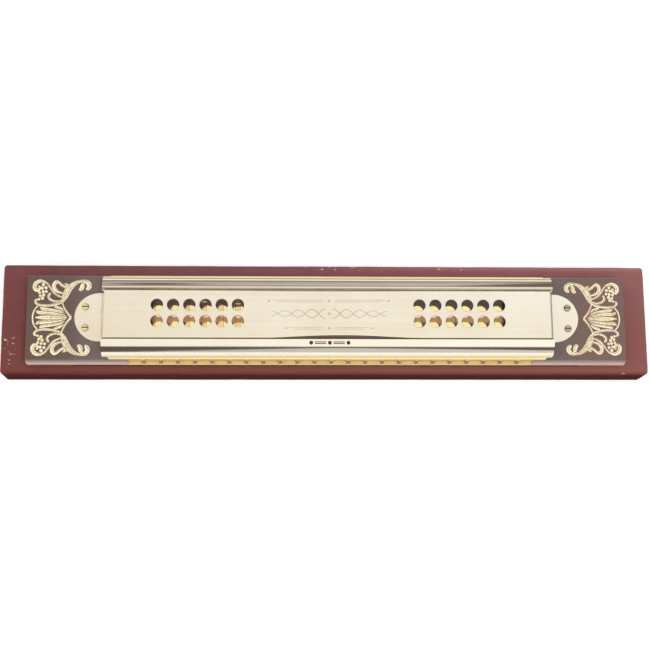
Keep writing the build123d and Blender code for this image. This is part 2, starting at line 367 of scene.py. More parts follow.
def inside_plate_material():
    """The dull inside of the covers, with a painted glow: warm between the rows of sound holes, standing in
    for what the brass throws up, and faint and bluish elsewhere under the holes.
    """
    shader = Shader("dull_nickel", Metallic=0.6, Emission_Strength=1.0)
    cloud = shader.noise(300, 4)
    shader.colour(shader.blend(cloud, linear(106, 92, 76), linear(138, 121, 102)))
    shader.roughness(cloud, 0.5, 0.7)

    # painted light: the emission below makes the inside glow under the sound holes, though it is no lamp
    x, y, _ = shader.split()
    off_group = shader.off(shader.size(x), SOUND_GROUP_X * MM)
    by_holes = shader.band(off_group, 19 * MM, 17 * MM)
    off_rows = shader.off(y, COVER_Y + SOUND_ROW_SHIFT * MM)
    between = shader.band(off_rows, 1.6 * MM, 0.9 * MM)
    under = shader.band(off_rows, 9.3 * MM, 8.6 * MM)
    glow = shader.blend(between, FAINT_GLOW, BRASS_GLOW)
    glow = shader.blend(shader.both(by_holes, under), (0, 0, 0, 1), glow)
    shader.feed(shader.surface.inputs["Emission Color"], glow)
    return shader.material


def groove_material():
    """The bottom of the groove along the plateau's back edge, drawn browner than the polished plate as
    painted shade.
    """
    shader = Shader("groove_nickel", Metallic=0.6)
    cloud = shader.noise(300, 4)
    shader.colour(shader.blend(cloud, linear(206, 183, 151), linear(238, 216, 182)))
    shader.roughness(cloud, 0.4, 0.55)
    return shader.material


def print_material():
    """Black stamping ink, worn thin in places."""
    shader = Shader("black_ink")
    wear = shader.noise(1500, 3)
    shader.colour(shader.blend(wear, linear(30, 27, 28), linear(64, 58, 56)))
    shader.roughness(wear, 0.45, 0.6)
    return shader.material


def engraving_material():
    shader = Shader("engraved_line", Metallic=0.7)
    wear = shader.noise(500, 3)
    shader.colour(shader.blend(wear, linear(196, 176, 140), linear(226, 211, 180)))
    shader.roughness(wear, 0.4, 0.55)
    return shader.material


PAINTED_LIGHT_PER_METRE = 3.8  # the paper is painted a little paler towards +X: painted light


def case_paper_material():
    """Maroon paper over board: mottled and scuffed in a few places, with painted light and shade: paler
    towards +X and the back, a painted highlight along the back edge, and sides drawn a deeper, darker red as
    painted shade.
    """
    shader = Shader("maroon_paper", Specular_IOR_Level=0.02)
    low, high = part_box("case_platform")
    x, y, z = shader.split()
    mottle = shader.noise(140, 5)
    fibre = shader.noise(2600, 3)
    patch = shader.noise(26, 3)
    lit_towards_right = shader.math("MULTIPLY", x, PAINTED_LIGHT_PER_METRE)
    tone = shader.total(shader.range(mottle, 0.03, 0.5), shader.range(patch, 0.03, 0.54), lit_towards_right)
    # painted light: the top is drawn paler and more mauve towards the back
    towards_back = shader.band(y, low.y, high.y)
    red = shader.blend(tone, linear(121, 72, 67), linear(148, 98, 92))
    mauve = shader.blend(tone, linear(122, 76, 77), linear(153, 104, 103))
    top = shader.blend(towards_back, red, mauve)
    # painted shade: the sides are drawn a deeper red than the top, darker towards the bottom, and the top's
    # front edge is drawn half way to them
    side = shader.blend(tone, linear(97, 30, 24), linear(113, 43, 37))
    side = shader.blend(shader.band(z, 9 * MM, high.z), linear(58, 18, 12), side)
    paper = shader.blend(shader.band(z, high.z - 0.75 * MM, high.z - 0.2 * MM), side, top)
    off_front = shader.less(y, low.y)
    paper = shader.blend(shader.range(shader.band(off_front, 1.3 * MM, 0.3 * MM), 0.0, 0.5), paper, side)
    paper = shader.blend(shader.range(fibre, 0.0, 0.3), paper, linear(90, 36, 32))

    # a painted highlight along the back edge, then the scuffs, in four places along the edges
    off_back = shader.less(high.y, y)
    off_left = shader.less(x, low.x)
    off_right = shader.less(high.x, x)
    near_top = shader.band(z, high.z - 2.2 * MM, high.z - 0.8 * MM)
    pale = shader.both(near_top, shader.band(off_back, 2.4 * MM, 0.6 * MM), shader.band(x, -20 * MM, 70 * MM))
    paper = shader.blend(shader.range(pale, 0.0, 0.45), paper, linear(176, 128, 126))
    back_middle = shader.both(
        shader.band(off_back, 2.4 * MM, 1.4 * MM),
        shader.band(shader.off(x, 18 * MM), 42 * MM, 30 * MM),
    )
    left_end = shader.both(
        shader.band(off_left, 7 * MM, 3 * MM),
        shader.band(shader.off(y, -12 * MM), 8 * MM, 4 * MM),
    )
    left_corner = shader.both(
        shader.band(off_left, 4 * MM, 1 * MM),
        shader.band(off_front, 3 * MM, 1 * MM),
    )
    right_corner = shader.both(
        shader.band(off_right, 16 * MM, 5 * MM),
        shader.band(off_front, 1.2 * MM, 0.4 * MM),
    )
    scuff = shader.noise(950, 6, (0.5, 1.0, 1.0))
    places = shader.most(back_middle, left_end, left_corner, right_corner)
    scuffed = shader.both(places, near_top, shader.band(scuff, 0.62, 0.7))
    shader.colour(shader.blend(scuffed, paper, linear(224, 196, 186)))
    shader.roughness(mottle, 0.7, 0.85)
    shader.bump(shader.math("ADD", fibre, mottle), 0.04 * MM, 0.3)
    return shader.material


def board_material():
    shader = Shader("raw_board")
    fleck = shader.noise(1800, 5)
    shader.colour(shader.blend(fleck, linear(128, 108, 84), linear(178, 156, 126)))
    shader.roughness(fleck, 0.8, 0.95)
    shader.bump(fleck, 0.1 * MM, 0.5)
    return shader.material


def floor_material():
    """A white table that fades to pale grey towards the studio walls."""
    shader = Shader("pale_floor", Specular_IOR_Level=0.2, Emission_Strength=0.27)
    shader.surface.inputs["Emission Color"].default_value = (1, 1, 1, 1)
    away = shader.node("VectorMath", {0: shader.place}, operation="LENGTH").outputs["Value"]
    cloud = shader.noise(3, 2)
    near = shader.blend(cloud, (0.93, 0.93, 0.93, 1), (0.95, 0.95, 0.95, 1))
    shader.colour(shader.blend(shader.band(away, 0.25, 1.6), near, (0.62, 0.6, 0.61, 1)))
    shader.roughness(cloud, 0.8, 0.9)
    return shader.material


# ------------------------------------------------------------ mesh tools


def link(name, data):
    made = bpy.data.objects.new(name, data)
    bpy.context.scene.collection.objects.link(made)
    return made


def unit_circle(sides):
    turns = [2 * math.pi * side / sides for side in range(sides)]
    return [(math.cos(turn), math.sin(turn)) for turn in turns]


def rings_to_mesh(target, rings, close_ends=True, looped=False):
    """Joins rings of equal length with quads, in a bmesh. looped joins the last ring to the first."""
    made = [[target.verts.new(point) for point in ring] for ring in rings]
    count = len(rings[0])
    spans = len(made) if looped else len(made) - 1
    faces = []
    for i in range(spans):
        here, there = made[i], made[(i + 1) % len(made)]
        for j in range(count):
            k = (j + 1) % count
            faces.append(target.faces.new((here[j], here[k], there[k], there[j])))
    if close_ends and not looped:
        faces.append(target.faces.new(made[0][::-1]))
        faces.append(target.faces.new(made[-1]))
    return faces


def finish_mesh(name, target, angle=35):
    """The finished mesh of a bmesh: smooth, with edges sharper than angle, in degrees, kept."""
    bmesh.ops.recalc_face_normals(target, faces=target.faces)
    mesh = bpy.data.meshes.new(name)
    target.to_mesh(mesh)
    target.free()
    mesh.shade_smooth()
    mesh.set_sharp_from_angle(angle=math.radians(angle))
    return mesh


def piece(name, target, angle, materials, body, replaced=()):
    """A shown piece, made from a bmesh, on the body that carries it."""
    mesh = finish_mesh(name, target, angle)
    made = link(name, mesh)
    weighted = made.modifiers.new("weighted_normals", "WEIGHTED_NORMAL")
    weighted.keep_sharp = True
    for material in materials:
        mesh.materials.append(material)
    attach(made, body)
    if replaced:
        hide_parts(*replaced)
    return made


# ------------------------------------------------------------ covers

# Sizes of a cover, in mm, with heights above the comb's face
SHEET = 0.5
PLATE = 1.0  # thickness of the reed plate, which the shoulders stand on
PLATEAU_TOP = 7.2
PLATEAU_HALF_LENGTH = 87.0
STRIP_HALF_WIDTH = 9.42
END_WALL_RUN = 1.35
BEND_RADIUS = 0.55
TAB_TIP = 98.9
TAB_HALF_WIDTH = 9.7
SHOULDER_END = 87.7
SHOULDER_RADIUS = 5.8
SHOULDER_CENTRE = (9.7, 1.9)
SHOULDER_RIPPLE = 0.012
SOUND_HOLE_RADIUS = 2.35
SOUND_HOLE_PITCH = 6.25
SOUND_HOLES_IN_ROW = 6
SOUND_GROUP_X = 50.9
SOUND_ROW_HALF_SPACING = 3.23
SOUND_ROW_SHIFT = 0.4

# Where the plateau's front and back edges are rolled the most, and how far to each side the roll reaches
ROLL_CENTRE = 5.0
ROLL_REACH = 29.0
BACK_ROLL_CENTRE = -2.0
BACK_ROLL_REACH = 46.0

COVER_SHARP = 28  # edges sharper than this, in degrees, stay sharp
SATIN, POLISHED, INSIDE, GROOVE = range(4)  # material slots of a cover


def cover_point(x, y, z, sign):
    """A place on a cover, given in mm with z above the comb's face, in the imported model's frame."""
    return Vector((x * MM, COVER_Y + y * MM, HARP_CENTRE.z + sign * (COMB_HALF.z + z * MM)))


# A shoulder's outline, as (y, z): the groove beside the plateau, three arcs, then the lip at the foot
GROOVE_TO_CREST = [(9.3, 6.0), (9.3, 6.3), (9.6, 6.34), (9.72, 6.5), (9.77, 6.9), (9.8, 7.35), (9.84, 7.58)]
GROOVE_POINTS = 5  # this many of them lie in the dark groove
CREST_Y = 9.95
SHOULDER_ARCS = ((0, 30, 5.3), (30, 51, 7.6), (51, 86, 4.9))  # from and to these slopes in degrees, radius
LIP = [(15.5, 1.6), (15.53, 1.47), (15.6, 1.41), (15.8, 1.4), (15.88, 1.36), (15.9, 1.28), (15.9, PLATE)]
ARC_STEPS = 14
INSIDE_TURN = 84  # degrees of the round inside a shoulder


def shoulder_profile():
    """Closed outline of a pressed shoulder: groove, crest, three arcs, wall and lip, then the inside back.

    Gives the points, and how many of them from the start are on the outside.
    """
    centre_y, centre_z = SHOULDER_CENTRE
    y, z = CREST_Y, centre_z + SHOULDER_RADIUS
    outline = [*GROOVE_TO_CREST, (y, z)]
    for begin, end, radius in SHOULDER_ARCS:
        for step in range(ARC_STEPS):
            slope = math.radians(begin + (end - begin) * (step + 0.5) / ARC_STEPS)
            length = radius * math.radians(end - begin) / ARC_STEPS
            y += length * math.cos(slope)
            z -= length * math.sin(slope)
            outline.append((y, z))
    outline += LIP
    outside = len(outline)
    outline += [(15.0, PLATE)]
    inner = SHOULDER_RADIUS - SHEET
    for step in range(ARC_STEPS + 1):
        angle = math.radians(INSIDE_TURN * step / ARC_STEPS)
        outline.append((centre_y + inner * math.cos(angle), centre_z + inner * math.sin(angle)))
    outline += [(10.1, 6.9), (9.9, 6.4)]
    return outline, outside


def shoulder(target, side, sign):
    """One shoulder, rippled very slightly above its foot, as rolled sheet is."""
    profile, outside = shoulder_profile()
    stations = 90
    rings = []
    for station in range(stations + 1):
        x = SHOULDER_END * (2 * station / stations - 1)
        ring = []
        for y, z in profile:
            ripple = SHOULDER_RIPPLE * noise.noise(Vector((x * 0.05, side * y * 0.25, z * 0.3 + 7 * sign)))
            ring.append(cover_point(x, side * y, z + ripple * min(1, max(0, z - 1.5)), sign))
        rings.append(ring)
    for index, face in enumerate(rings_to_mesh(target, rings)):
        place = index % len(profile)
        if index >= stations * len(profile):  # the two end faces
            face.material_index = POLISHED
        # painted shade: the groove's faces take darker materials than the polished sheet, brownish at the
        # back and the dull inside one at the front
        elif place < GROOVE_POINTS:
            face.material_index = GROOVE if side > 0 else INSIDE
        else:
            face.material_index = INSIDE if place >= outside else POLISHED


def strip_stations():
    """Right half of the strip's top line: plateau, two bends, end wall and D-shaped tab.

    Each station is (x, z, tilt, half width).
    """
    wall_angle = math.atan2(PLATEAU_TOP - SHEET, END_WALL_RUN)
    reach = BEND_RADIUS * math.tan(wall_angle / 2)
    bends = 6
    stations = [(x, PLATEAU_TOP, 0.0, STRIP_HALF_WIDTH) for x in (*range(0, 35, 2), 68)]
    start = PLATEAU_HALF_LENGTH - reach
    for step in range(bends + 1):
        angle = wall_angle * step / bends
        x = start + BEND_RADIUS * math.sin(angle)
        z = PLATEAU_TOP - BEND_RADIUS * (1 - math.cos(angle))
        stations.append((x, z, angle, STRIP_HALF_WIDTH))
    foot = PLATEAU_HALF_LENGTH + END_WALL_RUN
    for step in range(bends + 1):
        angle = wall_angle * (1 - step / bends)
        x = foot + reach - BEND_RADIUS * math.sin(angle)
        z = SHEET + BEND_RADIUS * (1 - math.cos(angle))
        stations.append((x, z, angle, TAB_HALF_WIDTH))
    centre = TAB_TIP - TAB_HALF_WIDTH
    begin = math.asin(min(1, (stations[-1][0] + 0.15 - centre) / TAB_HALF_WIDTH))
    rounds = 26
    for step in range(rounds):
        angle = begin + (math.radians(88) - begin) * step / (rounds - 1)
        x = centre + TAB_HALF_WIDTH * math.sin(angle)
        stations.append((x, SHEET, 0.0, TAB_HALF_WIDTH * math.cos(angle)))
    return stations


def swell(x, centre, reach):
    """1 at centre, falling smoothly to 0 at reach to each side."""
    return max(0.0, 1 - ((x - centre) / reach) ** 2) ** 1.5


def edge_roll(x):
    """How far in, and how deep, the plateau's front edge rolls down at x: deepest near the middle."""
    most = swell(x, ROLL_CENTRE, ROLL_REACH)
    return 0.1 + 1.3 * most, 0.12 + 0.78 * most


def strip(target, sign):
    """The flat plateau with its end walls and tabs: one strip of sheet."""
    right = strip_stations()
    left = [(-x, z, -tilt, width) for x, z, tilt, width in right[:0:-1]]
    rings = []
    for x, z, tilt, width in left + right:
        inset = min(0.14 + 0.32 * swell(x, BACK_ROLL_CENTRE, BACK_ROLL_REACH), width * 0.4)
        roll, drop = edge_roll(x)
        roll = min(roll, width * 0.4)
        drop = min(drop, 0.35) if abs(x) > PLATEAU_HALF_LENGTH else drop
        base = -SHEET - max(0.0, drop - 0.3)
        outline = [
            (-width + roll, 0),
            (-width + 0.85 * roll, -0.08 * drop),
            (-width + 0.1 * roll, -0.9 * drop),
            (-width, -drop),
            (-width, base),
            (-width + roll, base),
            (0, -SHEET),
            (width, -SHEET),
            (width, -inset),
            (width - 0.3 * inset, -0.3 * inset),
            (width - inset, 0),
        ]
        ring = []
        for y, depth in outline:
            ring.append(cover_point(x + depth * math.sin(tilt), y, z + depth * math.cos(tilt), sign))
        rings.append(ring)
    for index, face in enumerate(rings_to_mesh(target, rings)[:-2]):
        place = index % len(outline)
        x, _, tilt, _ = (left + right)[index // len(outline)]
        on_underside = 4 <= place < 7
        on_front_roll = 1 <= place < 4 and abs(x) < PLATEAU_HALF_LENGTH
        on_top = place == len(outline) - 1
        # painted shade: the front roll takes the dull inside material, which draws a dark line along the
        # plateau's front edge
        if on_underside or on_front_roll:
            face.material_index = INSIDE
        elif not on_top or abs(tilt) > 0.3:
            face.material_index = POLISHED


def sound_hole_cutters(sign):
    """Round cutters, flared a little at the top so that each hole gets a rounded rim."""
    target = bmesh.new()
    profile = [(SOUND_HOLE_RADIUS, -1.2), (SOUND_HOLE_RADIUS, -0.16), (SOUND_HOLE_RADIUS + 0.03, -0.08)]
    profile += [(SOUND_HOLE_RADIUS + 0.1, -0.02), (SOUND_HOLE_RADIUS + 0.24, 0.05)]
    sides = 56
    for group in (-1, 1):
        for place in range(SOUND_HOLES_IN_ROW):
            x = group * SOUND_GROUP_X + (place - (SOUND_HOLES_IN_ROW - 1) / 2) * SOUND_HOLE_PITCH
            for row in (-1, 1):
                y = SOUND_ROW_SHIFT + row * SOUND_ROW_HALF_SPACING
                rings = []
                for radius, z in profile:
                    height = PLATEAU_TOP + z
                    rings.append(
                        [
                            cover_point(x + radius * across, y + radius * along, height, sign)
                            for across, along in unit_circle(sides)
                        ]
                    )
                rings_to_mesh(target, rings)
    return link("sound_hole_cutters", finish_mesh("sound_hole_cutters", target))


def with_holes(mesh, sign):
    """The strip's mesh with the sound holes cut through it."""
    body = link("strip_blank", mesh)
    cutters = sound_hole_cutters(sign)
    cut = body.modifiers.new("holes", "BOOLEAN")
    cut.operation = "DIFFERENCE"
    cut.solver = "EXACT"
    cut.object = cutters
    bpy.context.view_layer.update()
    result = bpy.data.meshes.new_from_object(body.evaluated_get(bpy.context.evaluated_depsgraph_get()))
    bpy.data.objects.remove(body)
    bpy.data.objects.remove(cutters)
    return result


def cover(row, sign, materials):
    target = bmesh.new()
    strip(target, sign)
    drilled = with_holes(finish_mesh("strip", target), sign)
    target = bmesh.new()
    target.from_mesh(drilled)
    for side in (-1, 1):
        shoulder(target, side, sign)
    name = f"{row}_cover_pressed"
    piece(name, target, COVER_SHARP, materials, HARP, (f"{row}_cover",))


# ------------------------------------------------------------ ornament

# Strokes of one half of an end ornament, in mm: distance in from the end, distance from the middle, width
STROKES = {
    "cartouche_side": [(1.8, 0.0, 0.6), (1.95, 1.4, 0.6), (2.6, 3.2, 0.6), (3.8, 4.6, 0.55)],
    "cartouche_top": [
        (3.6, 7.2, 0.6), (2.8, 6.7, 1.0), (3.1, 5.7, 0.9), (4.4, 5.0, 0.85), (7.2, 4.75, 0.95),
        (10.3, 5.1, 0.95), (12.7, 5.8, 0.85), (13.9, 6.8, 0.7),
    ],
    "cartouche_point": [(13.5, 6.0, 0.6), (14.3, 4.1, 0.7), (15.6, 1.9, 0.8), (17.2, 0.0, 0.9)],
    "arm_outer": [
        (13.6, 6.4, 0.9), (15.2, 8.1, 0.8), (16.5, 10.5, 0.75), (18.0, 12.6, 0.7), (20.0, 14.2, 0.75),
        (22.2, 14.6, 1.2), (23.7, 13.8, 1.8), (24.2, 12.6, 1.9), (23.6, 11.6, 1.6), (22.9, 11.5, 1.0),
    ],
    "arm_inner": [
        (13.7, 7.0, 0.9), (13.9, 9.2, 0.8), (14.8, 11.3, 0.8), (16.6, 13.2, 0.75), (18.9, 14.4, 0.7),
        (21.6, 14.9, 0.5),
    ],
    "arm_hook": [
        (22.2, 13.8, 0.7), (21.5, 13.2, 1.5), (21.3, 12.2, 1.8), (20.8, 11.3, 1.5), (20.0, 11.4, 0.8),
    ],
    "arm_leaf_low": [(13.9, 7.6, 0.3), (14.9, 8.7, 1.0), (15.6, 10.1, 0.3)],
    "arm_leaf_middle": [(14.3, 9.3, 0.3), (15.3, 10.5, 1.1), (16.7, 12.0, 0.3)],
    "arm_leaf_high": [(15.3, 11.3, 0.3), (16.8, 12.5, 0.9), (18.7, 13.7, 0.3)],
    "loop": [
        (15.6, 12.6, 0.5), (14.6, 12.2, 1.0), (13.3, 12.8, 1.0), (12.0, 13.9, 1.0), (10.8, 14.2, 1.4),
        (10.0, 13.0, 1.6), (10.3, 11.5, 1.4), (11.7, 10.3, 1.0), (13.9, 9.6, 0.6),
    ],
    "loop_leaf": [(14.2, 13.6, 0.3), (15.2, 13.2, 1.0), (15.8, 12.4, 1.1), (16.0, 11.7, 0.4)],
    "volute": [
        (13.6, 8.1, 0.5), (11.6, 8.8, 0.8), (9.8, 10.2, 0.85), (8.4, 12.1, 0.75), (6.8, 13.9, 0.8),
        (4.5, 14.6, 1.3), (2.7, 13.7, 1.6), (2.15, 12.2, 1.6), (2.8, 11.0, 1.5), (3.9, 11.1, 1.3),
        (4.3, 12.0, 1.0), (3.7, 12.6, 0.7),
    ],
    "hook": [
        (13.3, 6.9, 0.5), (11.2, 6.35, 0.8), (9.1, 6.9, 0.9), (7.95, 8.0, 0.9), (8.1, 9.1, 1.0),
        (8.7, 9.6, 0.9),
    ],
    "palm_middle": [
        (15.6, 0.1, 0.2), (13.0, 0.3, 0.5), (9.4, 0.42, 0.75), (6.0, 0.4, 0.75), (3.0, 0.1, 0.3),
    ],
    "palm_inner": [
        (15.2, 0.6, 0.3), (12.8, 1.15, 0.8), (9.8, 1.6, 1.15), (6.6, 1.85, 1.3), (4.4, 2.0, 1.4),
        (3.2, 2.6, 0.6),
    ],
    "palm_outer": [
        (14.7, 1.5, 0.3), (12.6, 2.35, 0.9), (10.0, 2.9, 1.1), (7.4, 3.25, 1.2), (5.6, 3.5, 1.2),
        (4.7, 4.0, 0.5),
    ],
    "palm_side": [(14.2, 2.5, 0.3), (13.1, 3.5, 1.0), (11.5, 4.1, 1.1), (10.4, 4.3, 0.5)],
}
# Dots of the same half: distance in from the end, distance from the middle, radius
BERRIES = [
    (5.7, 13.1, 0.7), (5.3, 11.7, 0.6), (6.8, 11.9, 0.65), (5.7, 10.3, 0.65), (7.0, 10.4, 0.6),
    (4.3, 9.9, 0.6), (6.0, 9.0, 0.7), (4.6, 8.6, 0.6), (5.5, 7.7, 0.7), (4.2, 7.3, 0.55),
]
# By end of the comb: start in mm, stretch along the comb, stretch across it
ORNAMENT_FIT = {-1: (0.64, 0.966, 1.0), 1: (0.28, 0.932, 0.97)}
ORNAMENT_SHIFT = 0.45  # towards the back, in mm
RELIEF = 0.09
BERRY_RELIEF = 1.3 * RELIEF
STROKE_STEP = 0.35
SHADE_WIDTH = 0.27
SHADE_SHIFT = 0.14  # off the stroke's middle, as a share of its width
SHADE_LIFT = 0.015  # above the gold
SHADED_FROM = 0.8  # strokes broader than this have a shading line
RELIEF_SHARP = 60  # edges sharper than this, in degrees, stay sharp

# Domed sections, as distance from the middle and rise, both as shares of the whole
STROKE_DOME = [(-1, -0.2), (-0.92, 0.55), (-0.45, 0.95), (0, 1), (0.45, 0.95), (0.92, 0.55), (1, -0.2)]
DOT_DOME = [(1.0, -0.2), (0.96, 0.5), (0.7, 1.1), (0.35, 1.4)]


def catmull(points, step):
    """Points along a smooth curve through the given ones. The width is carried along with the place."""
    padded = [points[0], *points, points[-1]]
    result = []
    for i in range(1, len(padded) - 2):
        a, b, c, d = (Vector(point) for point in padded[i - 1 : i + 3])
        count = max(2, math.ceil((c - b).to_2d().length / step))
        for k in range(count):
            t = k / count
            square = (2 * a - 5 * b + 4 * c - d) * t**2
            cube = (3 * b - a - 3 * c + d) * t**3
            result.append(0.5 * (2 * b + (c - a) * t + square + cube))
    result.append(Vector(points[-1]))
    return result


def relief_stroke(target, points, place, height=RELIEF, step=STROKE_STEP):
    """A raised stroke with a domed top, which follows the points and has their widths."""
    line = catmull(points, step)
    rings = []
    for i, here in enumerate(line):
        before, after = line[max(0, i - 1)], line[min(len(line) - 1, i + 1)]
        along = (after - before).to_2d().normalized()
        across = Vector((-along.y, along.x))
        half = max(0.04, here.z / 2)
        ring = []
        for offset, rise in STROKE_DOME:
            spot = here.to_2d() + across * (offset * half)
            ring.append(place(spot.x, spot.y, rise * height))
        rings.append(ring)
    return rings_to_mesh(target, rings)


def relief_dot(target, u, v, radius, place, height):
    rings = []
    for share, rise in DOT_DOME:
        reach = radius * share
        rings.append([place(u + reach * x, v + reach * y, rise * height) for x, y in unit_circle(16)])
    rings_to_mesh(target, rings)


def shading_line(points):
    """The thin brown line inside a broad stroke, a little to one side, which narrows at both ends."""
    last = len(points) - 1
    result = []
    for i, (u, v, width) in enumerate(points):
        before, after = points[max(0, i - 1)], points[min(last, i + 1)]
        along = Vector((after[0] - before[0], after[1] - before[1])).normalized()
        shift = SHADE_SHIFT * width
        line_width = SHADE_WIDTH * (1 if 0 < i < last else 0.3)
        result.append((u - along.y * shift, v + along.x * shift, line_width))
    return result


def end_ornament(name, side, materials):
    """A generic scroll ornament on one end of the comb's top: one half, then the same mirrored."""
    target = bmesh.new()
    start, along, across = ORNAMENT_FIT[side]
    for half in (-1, 1):

        def place(u, v, rise, half=half):
            x = side * (COMB_HALF.x - (start + along * u) * MM)
            y = HARP_CENTRE.y + (ORNAMENT_SHIFT + half * across * v) * MM
            return Vector((x, y, COMB_HIGH.z + rise * MM))

        for points in STROKES.values():
            relief_stroke(target, points, place)
            if max(width for _, _, width in points) > SHADED_FROM:
                for face in relief_stroke(target, shading_line(points), place, RELIEF + SHADE_LIFT):
                    face.material_index = 1
        for u, v, radius in BERRIES:
            relief_dot(target, u, v, radius, place, BERRY_RELIEF)
    piece(name, target, RELIEF_SHARP, materials, HARP)


# ------------------------------------------------------------ engraved flourish

FLOURISH_Y = 0.2  # middle of the flourish, which lies in the middle of the plateau
FLOURISH_LINE = 0.2  # width
FLOURISH_RELIEF = 0.012
FLOURISH_DOT_RELIEF = 0.01
WAVE_START, WAVE_LENGTH, WAVE_HEIGHT = 1.5, 21.0, 1.9
WAVE_STEPS = 24
DOUBLE_LINES = ((5.6, 22.0), (-5.2, 15.5))  # upper line of each pair, and how far it reaches
DOUBLE_LINE_START = 2.2


def flourish(material):
    """A faint, generic line ornament in the middle of the plateau, where a maker would put words."""
    target = bmesh.new()

    def place(x, y, rise):
        return cover_point(x, y, PLATEAU_TOP + rise, 1)

    def line(points, step):
        relief_stroke(target, points, place, FLOURISH_RELIEF, step)

    def dot(x, y, radius):
        relief_dot(target, x, y, radius, place, FLOURISH_DOT_RELIEF)

    for side in (-1, 1):
        wave = []
        for step in range(WAVE_STEPS + 1):
            t = step / WAVE_STEPS
            swing = WAVE_HEIGHT * math.cos(t * math.pi * 4) * (1 - 0.5 * t)
            wave.append((side * (WAVE_START + WAVE_LENGTH * t), FLOURISH_Y + swing, 0.42 - 0.2 * t))
        line(wave, 0.5)
        line([(x, 2 * FLOURISH_Y - y, width) for x, y, width in wave], 0.5)
        for row, reach in DOUBLE_LINES:
            for y, end in ((row, reach), (row - 0.7, reach - 2)):
                line([(side * DOUBLE_LINE_START, y, FLOURISH_LINE), (side * end, y, FLOURISH_LINE)], 2)
            dot(side * (reach + 1.2), row - 0.35, 0.45)
    for row in (5.25, FLOURISH_Y, -5.55):
        dot(0.0, row, 0.55)
    piece("plateau_flourish", target, RELIEF_SHARP, (material,), HARP)


def shoulder_height(y):
    """Height of a shoulder's outside at y, from its crest outwards."""
    outline, outside = shoulder_profile()
    crest_on = outline[len(GROOVE_TO_CREST) : outside]
    for (near_y, near_z), (far_y, far_z) in zip(crest_on, crest_on[1:]):
        if near_y <= y <= far_y:
            return near_z + (far_z - near_z) * (y - near_y) / (far_y - near_y)
    return crest_on[0][1]


PRINT_DOTS = (-7.0, 0.2, 7.4)  # x of each, on the row's middle
PRINT_DOT_Y, PRINT_DOT_RADIUS = 11.3, 0.75
PRINT_BARS = (-5.6, 1.6)  # x where each pair of bars starts
PRINT_BAR_ROWS = (11.0, 11.6)
PRINT_BAR_LENGTH, PRINT_BAR_WIDTH = 4.4, 0.34
PRINT_LIFT = 0.02  # off the curved shoulder, so that no part of the print sinks in
PRINT_RELIEF = 0.03


def printed_row(material):
    """Dots and bars stamped in black on the front shoulder, where a maker would print a number."""
    target = bmesh.new()

    def place(x, y, rise):
        return cover_point(x, -y, shoulder_height(y) + PRINT_LIFT + rise, 1)

    for x in PRINT_DOTS:
        relief_dot(target, x, PRINT_DOT_Y, PRINT_DOT_RADIUS, place, PRINT_RELIEF)
    for start in PRINT_BARS:
        for row in PRINT_BAR_ROWS:
            ends = [(x, row, PRINT_BAR_WIDTH) for x in (start, start + PRINT_BAR_LENGTH)]
            relief_stroke(target, ends, place, PRINT_RELIEF, 1)
    piece("printed_row", target, RELIEF_SHARP, (material,), HARP)


# ------------------------------------------------------------ case

CASE_SHARP = 50  # edges sharper than this, in degrees, stay sharp
CASE_CORNER = 1.2 * MM
CORNERS = [(1, 1, 0), (-1, 1, 90), (-1, -1, 180), (1, -1, 270)]  # sides of x and y, first direction
CORNER_STEPS = 5
SIDE_STEPS = 48


def rounded_rectangle(centre, half_x, half_y, corner, z):
    """Points round a rectangle with rounded corners, at one height, in metres: always equally many."""

    def on_corner(index, turn):
        side_x, side_y, start = CORNERS[index % 4]
        angle = math.radians(start + turn)
        x = centre.x + side_x * (half_x - corner) + corner * math.cos(angle)
        y = centre.y + side_y * (half_y - corner) + corner * math.sin(angle)
        return Vector((x, y, z))

    points = []
    for index in range(4):
        points += [on_corner(index, 90 * step / CORNER_STEPS) for step in range(CORNER_STEPS + 1)]
        begin, end = points[-1], on_corner(index + 1, 0)
        points += [begin.lerp(end, step / SIDE_STEPS) for step in range(1, SIDE_STEPS)]
    return points


def worn(point, amount):
    """Moves a point a little, so that a cardboard edge isn't ruler straight."""
    shift = noise.noise_vector(point * 90) * 0.6 + noise.noise_vector(point * 400) * 0.4
    return point + Vector((shift.x, shift.y, 0.6 * shift.z)) * amount


EDGE_STEPS = 4
EDGE_RADIUS = 0.7 * MM
TOP_WEAR = 0.12 * MM
WINDOW_HALF = Vector((100.5 * MM, 17.025 * MM))
WINDOW_CENTRE = Vector((0, HARP_CENTRE.y + 0.175 * MM, 0))
WINDOW_CORNER = 0.3 * MM


def platform_piece(material):
    low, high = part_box("case_platform")
    middle, half = (low + high) / 2, (high - low) / 2
    rings = [rounded_rectangle(middle, half.x - 0.1 * MM, half.y - 0.1 * MM, CASE_CORNER, low.z)]
    rings.append(rounded_rectangle(middle, half.x, half.y, CASE_CORNER, low.z + 0.12 * MM))
    for step in range(EDGE_STEPS + 1):
        angle = math.radians(90 * step / EDGE_STEPS)
        inset = EDGE_RADIUS * (1 - math.cos(angle))
        height = high.z - EDGE_RADIUS * (1 - math.sin(angle))
        ring = rounded_rectangle(middle, half.x - inset, half.y - inset, CASE_CORNER, height)
        rings.append([worn(point, TOP_WEAR) for point in ring])
    for z in (high.z, low.z):
        rings.append(rounded_rectangle(WINDOW_CENTRE, WINDOW_HALF.x, WINDOW_HALF.y, WINDOW_CORNER, z))
    target = bmesh.new()
    rings_to_mesh(target, rings, looped=True)
    piece("case_top_board", target, CASE_SHARP, (material,), CASE, ("case_platform",))


